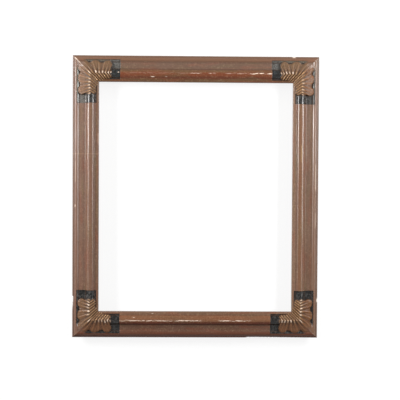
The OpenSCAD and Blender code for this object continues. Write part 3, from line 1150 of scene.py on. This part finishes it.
        # A pale film of dust and painted light, thicker towards the top of the frame, shows most on the
        # black; dirt and painted shade darken the hollows
        aged = (
            Coat(self.dust, (("height", -0.45, 0.3),), 0.13, ("dusty",)),
            Coat(
                self.dust, (("across", 0.56, 0.5), ("height", -0.1, 0.1)), self.dust_and_light_on_black,
                ("ground", "ledge_dust"),
            ),
            Coat(self.dark, shares=("grime_and_shade", "hollow")),
            Coat(self.fleck, (("from_crack", 0.0012, 0.0004),), 0.4),
            # Cream of worn paint and chips, and of the painted glints and highlights
            Coat(self.worn_and_glinting, shares=("rubbed_and_glinting",)),
        )
        # The wood behind is bare, with its grain along the length, and has darkened in places
        timber = (
            Coat(self.grain, (("streaks", 0.35, 0.7),)),
            Coat(self.dark, (("clouds", 0.42, 0.68),), 0.4),
        )
        paint = lay_coats(tree, self.coat, brown, found)
        leaf = lay_coats(tree, self.leaf_brown, leafy, found)
        ink = lay_coats(tree, self.black, inky, found)
        colour = add_node(tree, Kind.BLEND, _0=found["leaf"], _6=paint, _7=leaf)
        colour = lay_coats(tree, colour, carved, found)
        colour = add_node(tree, Kind.BLEND, _0=found["ground"], _6=colour, _7=ink)
        colour = lay_coats(tree, colour, aged, found)
        wood = lay_coats(tree, self.bare, timber, found)
        return add_node(tree, Kind.BLEND, _0=found["painted"], _6=wood, _7=colour)

    def _finish(self, tree: Tree, found: dict[str, Socket], colour: Socket) -> None:
        """Adds the shader: a low, streaky sheen, brighter on bronze and on the black.

        Args:
            tree: The material's node tree.
            found: The shares and patterns.
            colour: The colour all over.
        """
        leaf, ground, streaks = found["leaf"], found["ground"], found["streaks"]
        gloss = add_node(
            tree, Kind.SPREAD, Value=streaks, From_Min=0.3, From_Max=0.7, To_Min=0.33, To_Max=0.45
        )
        gloss = add_node(tree, Kind.BETWEEN, _0=leaf, _2=gloss, _3=self.leaf_gloss)
        bright = add_node(tree, Kind.LARGER, _0=ground, _1=found["gilt"])
        gloss = add_node(tree, Kind.BETWEEN, _0=bright, _2=gloss, _3=self.bright_gloss)
        # The wax on the paint is a thin coat over it, nearly gone from the leaf
        wax = add_node(tree, Kind.SPREAD, Value=ground, To_Min=self.sheen, To_Max=self.ground_sheen)
        off_leaf = add_node(tree, Kind.SPREAD, Value=leaf, To_Min=1.0, To_Max=0.12)
        wax = add_node(tree, Kind.TIMES, _0=wax, _1=off_leaf)
        metal = add_node(tree, Kind.TIMES, _0=found["gilt"], _1=self.gilt_metal)
        specks = add_node(tree, Kind.TIMES, _0=found["specks"], _1=0.5)
        relief = add_node(tree, Kind.SUM, _0=streaks, _1=specks)
        relief = add_node(tree, Kind.BUMP, Height=relief, Strength=0.25, Distance=0.4 * MM)
        shader = add_node(
            tree, Kind.PRINCIPLED, Base_Color=colour, Roughness=gloss, Metallic=metal, Normal=relief,
            Specular_IOR_Level=0.25, Coat_Weight=wax, Coat_Roughness=0.13,
        )
        add_node(tree, Kind.SURFACE, Surface=shader)


@dataclass(frozen=True)
class PlainFinish:
    """A finish of one substance with soft changes of tone, for the hidden and small parts."""

    name: str
    light: str
    dark: str
    grain_mm: float
    stretch: float
    roughness: float
    metallic: float

    def material(self) -> bpy.types.Material:
        """Builds the node material.

        Returns:
            The finish.
        """
        made = bpy.data.materials.new(self.name)
        tree = bare_tree(made)
        place = add_node(
            tree, Kind.STRETCH, Vector=add_node(tree, Kind.SOLID), Scale=(1.0, self.stretch, self.stretch)
        )
        grain = add_node(tree, Kind.NOISE, Vector=place, Scale=1.0 / (self.grain_mm * MM), Detail=4.0)
        tone = add_node(tree, Kind.BLEND, _0=grain, _6=self.dark, _7=self.light)
        relief = add_node(tree, Kind.BUMP, Height=grain, Strength=0.3, Distance=0.3 * MM)
        shader = add_node(
            tree, Kind.PRINCIPLED, Base_Color=tone, Roughness=self.roughness, Metallic=self.metallic,
            Normal=relief,
        )
        add_node(tree, Kind.SURFACE, Surface=shader)
        return made


@dataclass(frozen=True)
class Hardware:
    """The splines, nails and screw eyes, whose meshes are the CAD model's own."""

    # Split beech is pale brown and dull, with a fine grain along the spline.
    spline: PlainFinish = PlainFinish("split_beech_spline", "#a97f56", "#7d5836", 3.0, 0.3, 0.7, 0.0)
    # Cut steel has gone dark and dull, with blotches of old oxide.
    nails: PlainFinish = PlainFinish("cut_steel_nail", "#4a4541", "#2b2622", 1.2, 1.0, 0.55, 0.8)
    # Drawn brass is smooth, and its yellow has dulled to brown in patches.
    eye: PlainFinish = PlainFinish("drawn_brass_wire", "#b48d4c", "#7f5f30", 1.5, 1.0, 0.35, 1.0)

    def dress(self) -> None:
        """Gives each node the finish that its name ends with, and reports it."""
        for part in fields(self):
            material = getattr(self, part.name).material()
            for name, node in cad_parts.items():
                if name.endswith(part.name):
                    node.data.materials.clear()
                    node.data.materials.append(material)
                    LOG.info("%s: %s", name, material.name)


class Band(Enum):
    """The bands of a tall soft lamp, from the top: name ending, middle and height in metres."""

    HEAD = ("_head", 1.3, 1.2)
    BODY = ("", 0.35, 0.7)
    SKIRT = ("_skirt", -0.15, 0.3)
    FOOT = ("_foot", -0.45, 0.3)


@dataclass(frozen=True)
class Lamp:
    """A tall soft lamp: where it stands and how brightly its bands glow, from the top."""

    name: str
    place: tuple[float, float]
    glows: tuple[float, float, float, float]
    width: float = 0.45

    def build(self) -> None:
        """Adds the lamp's bands, facing the frame."""
        for band, glow in zip(Band, self.glows):
            ending, middle, height = band.value
            data = bpy.data.lights.new(self.name + ending, "AREA")
            data.shape = "RECTANGLE"
            data.energy = glow * math.pi * self.width * height
            data.size, data.size_y = self.width, height
            made = bpy.data.objects.new(data.name, data)
            bpy.context.scene.collection.objects.link(made)
            made.location = (*self.place, middle)
            towards = Vector((0.0, 0.0, middle)) - made.location
            made.rotation_mode = "QUATERNION"
            made.rotation_quaternion = towards.to_track_quat("-Z", "Y")


@dataclass(frozen=True)
class Studio:
    """The camera of the photograph, soft lamps, a pale floor and a pale wall behind the frame."""

    aim: tuple[float, float, float] = (0.0128, -0.012, -0.1439)
    distance: float = 2.5
    azimuth: float = 1.05
    elevation: float = 1.29
    roll: float = 0.323
    focal_pixels: float = 864.9
    picture_pixels: float = 400.0
    sensor_mm: float = 36.0
    stage_size: float = 12.0
    floor_z: float = -0.95
    floor_glow: float = 0.4
    floor_bounce: float = 0.35
    wall_y: float = 0.022
    wall_glow: float = 0.84
    matt: float = 0.2
    room_light: float = 0.12
    room_seen: float = 0.4
    lamps: tuple[Lamp, ...] = (
        Lamp("left_lamp", (-1.6, -1.0), (12.0, 28.0, 7.5, 3.0)),
        Lamp("right_lamp", (1.45, -1.2), (13.0, 21.0, 9.0, 4.0)),
    )

    def build(self) -> None:
        """Builds the camera, the lamps, the world and the stage."""
        self._camera()
        for lamp in self.lamps:
            lamp.build()
        self._world()
        self._stage()

    def _camera(self) -> None:
        """Stands the camera where the photograph was taken from."""
        azimuth, elevation = math.radians(self.azimuth), math.radians(self.elevation)
        level = math.cos(elevation)
        ahead = Vector((math.sin(azimuth) * level, math.cos(azimuth) * level, -math.sin(elevation)))
        right = ahead.cross(Vector((0, 0, 1))).normalized()
        up = right.cross(ahead)
        cos, sin = math.cos(math.radians(self.roll)), math.sin(math.radians(self.roll))
        right, up = right * cos + up * sin, up * cos - right * sin
        data = bpy.data.cameras.new("camera")
        camera = bpy.data.objects.new("camera", data)
        bpy.context.scene.collection.objects.link(camera)
        axes = Matrix((right, up, -ahead)).transposed().to_4x4()
        camera.matrix_world = Matrix.Translation(Vector(self.aim) - ahead * self.distance) @ axes
        data.sensor_width = self.sensor_mm
        data.lens = self.focal_pixels / self.picture_pixels * self.sensor_mm
        data.clip_start, data.clip_end = 0.05, 50.0
        bpy.context.scene.camera = camera

    def _world(self) -> None:
        """Lights the room softly, and shows it pale to the camera and in reflections."""
        world = bpy.data.worlds.new("studio")
        bpy.context.scene.world = world
        tree = bare_tree(world)
        room = add_node(tree, Kind.ROOM, Color="#ffffff", Strength=self.room_light)
        pale = add_node(tree, Kind.ROOM, Color="#ffffff", Strength=self.room_seen)
        mixed = add_node(tree, Kind.EITHER, _0=self._seen(tree), _1=room, _2=pale)
        add_node(tree, Kind.WORLD, Surface=mixed)

    def _seen(self, tree: Tree) -> Socket:
        """Tells the rays by which something is seen from those that only light it.

        Args:
            tree: The node tree of a material or the world.

        Returns:
            1 for rays from the camera and in reflections and glass, and 0 for the others.
        """
        path = add_node(tree, Kind.PATH).node
        seen = path.outputs["Is Camera Ray"]
        for name in ("Is Transmission Ray", "Is Glossy Ray"):
            seen = add_node(tree, Kind.LARGER, _0=seen, _1=path.outputs[name])
        return seen

    def _stage(self) -> None:
        """Adds the floor, and the wall, which shows from its front only."""
        bpy.ops.object.select_all(action="DESELECT")
        bpy.ops.mesh.primitive_plane_add(size=self.stage_size, location=(0, 0, self.floor_z))
        floor = bpy.context.active_object
        floor.name = "floor"
        floor.data.materials.append(self._pale("pale_floor", self.floor_glow, one_sided=False))
        bpy.ops.object.select_all(action="DESELECT")
        bpy.ops.mesh.primitive_plane_add(
            size=self.stage_size, location=(0, self.wall_y, 0), rotation=(math.pi / 2, 0, 0)
        )
        wall = bpy.context.active_object
        wall.name = "wall"
        wall.data.materials.append(self._pale("pale_wall", self.wall_glow, one_sided=True))

    def _pale(self, name: str, own: float, one_sided: bool) -> bpy.types.Material:
        """Makes the matt white of the floor or the wall.

        Args:
            name: The material's name.
            own: How much of its white is its own, apart from the light that falls on it.
            one_sided: True lets the back of the plane, and all light, pass through.

        Returns:
            The material: mostly its own white, with a share that still takes shadows.
        """
        made = bpy.data.materials.new(name)
        tree = bare_tree(made)
        seen = self._seen(tree)
        matt = add_node(tree, Kind.MATT, Color=(self.matt, self.matt, self.matt, 1.0))
        glow = add_node(tree, Kind.GLOW, Color="#ffffff", Strength=own)
        both = add_node(tree, Kind.BOTH, _0=matt, _1=glow)
        if one_sided:
            seen = add_node(tree, Kind.LESS, _0=seen, _1=add_node(tree, Kind.BACK))
            unseen = add_node(tree, Kind.CLEAR)
        else:
            bounce = self.floor_bounce
            unseen = add_node(tree, Kind.MATT, Color=(bounce, bounce, bounce, 1.0))
        shown = add_node(tree, Kind.EITHER, _0=seen, _1=unseen, _2=both)
        add_node(tree, Kind.SURFACE, Surface=shown)
        return made


@dataclass
class PictureFrame:
    """The four carved lengths and the hardware that the CAD model gives."""

    section: MouldingSection = field(default_factory=MouldingSection)
    hardware: Hardware = field(default_factory=Hardware)
    # Each length's colours are set lighter or darker as painted light and shade: the rails darker and redder
    # than the stiles, the bottom rail's roll and flank and the top rail's torus darkest where they face down,
    # the right stile's lip lighter as a painted highlight, the leaf lighter on the stiles, and the slate in
    # the black set per length the same way
    left_paint: AgedPaint = AgedPaint(
        "brushed_casein_paint_on_left_stile", coat="#765544", clouded="#795c4c", roll="#785645",
        flank="#72503c", torus="#745442", lip="#6d503d", sheen=0.55, dust_and_light_on_black=0.6, crack_at=0.529,
        leaf_brown="#906a4b", leaf_dark="#7b583e", leaf_outer="#7a563c", channel="#70705e", slate="#4a4846",
    )
    right_paint: AgedPaint = AgedPaint(
        "brushed_casein_paint_on_right_stile", coat="#72523d", clouded="#765743", roll="#755540",
        flank="#71503b", torus="#77533b", lip="#806451", sheen=0.7,
        leaf_brown="#9e734e", leaf_dark="#865e3e", leaf_outer="#764929", channel="#4e493b", slate="#413f3d",
    )
    top_paint: AgedPaint = AgedPaint(
        "brushed_casein_paint_on_top_rail", coat="#5f412e", clouded="#614333", roll="#72492d",
        flank="#66472e", torus="#6b3419", lip="#583820", sheen=0.2, hollow_dirt_and_shade=0.1, dust_and_light_on_black=0.38, flecks=0.3,
        olive="#5e4a30", flank_from=0.5, flank_to=0.62,
        leaf_brown="#6c4224", leaf_dark="#5d3920", slate="#303436",
    )
    bottom_paint: AgedPaint = AgedPaint(
        "brushed_casein_paint_on_bottom_rail", coat="#604232", clouded="#654739", roll="#532a19",
        flank="#5e270e", torus="#774f36", lip="#6f5240", sheen=0.18, flecks=0.35,
        olive="#634934", edge="#3b2a20", tarnish="#4c4128", slate="#3f3c3a", channel="#2b241b",
        leaf_brown="#80553b", leaf_dark="#6b4732", leaf_outer="#784f36",
    )

    top_wear: WearAndGlints = WearAndGlints(
        dents=(Dent(636.0, 14.0, 0.9, bare=1.0),),
        # The patch at 132 mm, on the black by the crest, is part worn arris and part painted highlight.
        bright_patches=(BrightPatch(230.0, 7.0, 61.5, 2.4), BrightPatch(132.0, 4.5, 49.5, 3.0, 0.7), BrightPatch(269.0, 5.0, 61.5, 2.0, 0.5)),
        crest_runs=(
            (150.0, 330.0, 0.12), (338.0, 368.0, 0.55), (393.0, 407.0, 0.8), (440.0, 505.0, 0.3),
            (505.0, 570.0, 1.0),
        ),
        arris=(0.9, 0.1), gilding=1.6,
    )
    bottom_wear: WearAndGlints = WearAndGlints(
        dents=(Dent(615.0, 230.0, 1.8, peak=0.035, bare=0.0),),
        bright_patches=(BrightPatch(179.0, 7.0, 60.0, 2.5, 0.6), BrightPatch(231.0, 6.0, 71.0, 2.0, 0.5)),
        crest_runs=((139.0, 260.0, 0.9), (260.0, 375.0, 1.0), (424.0, 514.0, 1.0)),
        gilding=1.6,
    )
    left_wear: WearAndGlints = WearAndGlints(
        dents=(Dent(98.0, 45.0, 2.4, peak=0.95, bare=0.2),),
        # The patches on the outer roll, at 479 and 379 mm, and on the lip, at 574 mm, are painted highlights.
        bright_patches=(
            BrightPatch(479.0, 70.0, 9.0, 2.0, 0.3), BrightPatch(379.0, 6.0, 8.5, 3.0, 0.8), BrightPatch(574.0, 35.0, 74.3, 2.0, 0.5),
        ),
        arris=(0.1, 0.9), glints=(0.9, 0.5), mitre_glints=(0.9, 0.9),
    )
    right_wear: WearAndGlints = WearAndGlints(
        dents=(Dent(109.0, 16.0, 1.0, bare=0.9),),
        # The patches on the outer roll, at 465 and 341 mm, are painted highlights; the gold one is worn
        # paint.
        bright_patches=(
            BrightPatch(533.0, 54.0, 51.3, 3.0, gold=True), BrightPatch(465.0, 85.0, 8.5, 2.6, 0.45),
            BrightPatch(341.0, 50.0, 8.5, 2.2, 0.3),
        ),
        glints=(0.8, 0.5), mitre_glints=(0.9, 0.0),
    )

    def build(self) -> None:
        """Builds the rails and stiles, finishes everything and reports each piece."""
        low, high = CAD_BOX
        across, upright = (high.x - low.x) / MM, (high.z - low.z) / MM
        leaf = CornerLeaf(self.section)
        lengths = (
            (Side.TOP, across, 101, self.top_paint, self.top_wear),
            (Side.BOTTOM, across, 202, self.bottom_paint, self.bottom_wear),
            (Side.LEFT, upright, 303, self.left_paint, self.left_wear),
            (Side.RIGHT, upright, 404, self.right_paint, self.right_wear),
        )
        for side, length, seed, paint, wear_and_glints in lengths:
            rail = MouldedLength(side, length, low, high, self.section, leaf, seed, wear_and_glints)
            piece = rail.build()
            rail.dress(piece, paint.material())
            LOG.info("%s: %d faces", piece.name, len(piece.data.polygons))
        self.hardware.dress()


def main() -> None:
    """Builds the studio and the frame."""
    logging.basicConfig(level=logging.INFO, format="%(message)s")
    bpy.context.scene.view_settings.view_transform = "Standard"
    Studio().build()
    PictureFrame().build()


if __name__ == "__main__":
    main()
